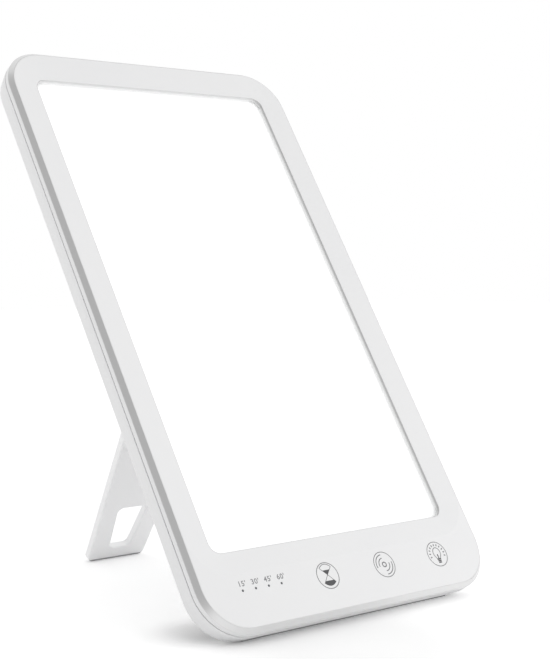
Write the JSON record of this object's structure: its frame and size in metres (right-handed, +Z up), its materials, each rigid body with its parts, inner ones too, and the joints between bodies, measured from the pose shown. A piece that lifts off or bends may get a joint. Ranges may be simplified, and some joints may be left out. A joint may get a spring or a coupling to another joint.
{
  "type": "light therapy lamp",
  "caption": "Slim portrait light therapy lamp with an opal light window, touch keys and a folding rear kick-stand.",
  "frame": {"origin": "centre of the lamp's outline on the surface it stands on, with the kick-stand open", "axes": "+Z up, the light window faces -Y and leans back towards +Y, X across the width"},
  "size_m": [0.17, 0.1949, 0.2585],
  "materials": {
    "white_shell": "fine satin moulding",
    "silver_trim": "satin anodised",
    "diffuser": "smooth opal",
    "film": "smooth",
    "guide": "polished, dotted back",
    "reflector": "matt white film",
    "tray_metal": "mill",
    "strip_board": "white solder mask on metal core",
    "led": "phosphor",
    "circuit_board": "solder mask",
    "black_part": "matt",
    "can": "bright",
    "connector": "natural",
    "lead": "silicone",
    "smoke_pipe": "smoke",
    "conductive_pad": "foam",
    "contact": "plated",
    "steel": "plated",
    "washer": "acetal",
    "dark_rubber": "soft"
  },
  "bodies": {
    "case": {"front_frame": "white_shell", "edge_trim": "silver_trim", "rear_cover": "white_shell", "hinge_cap": "white_shell", "base_strip": "dark_rubber", "hinge_pin": "steel", "hinge_washers": "washer", "diffuser_plate": "diffuser", "diffuser_film": "film", "light_guide": "guide", "reflector_sheet": "reflector", "back_tray": "tray_metal", "led_board_left": "strip_board", "led_board_right": "strip_board", "leds_left": "led", "leds_right": "led", "control_board": "circuit_board", "control_chip": "black_part", "power_inductor": "black_part", "capacitors": "can", "lead_connectors": "connector", "led_leads": "lead", "timer_leds": "led", "light_pipes": "smoke_pipe", "key_pads": "conductive_pad", "power_jack": "black_part", "jack_pin": "contact", "case_screws": "steel", "board_screws": "steel", "cap_screws": "steel"},
    "stand": {"kick_stand": "white_shell", "foot_pad": "dark_rubber"}
  },
  "joints": [
    {"name": "stand_hinge", "type": "hinge", "parent": "case", "child": "stand", "pos_m": [0, 0.00841, 0.14887], "axis": [1, 0, 0], "range_deg": [-63, 0]}
  ]
}
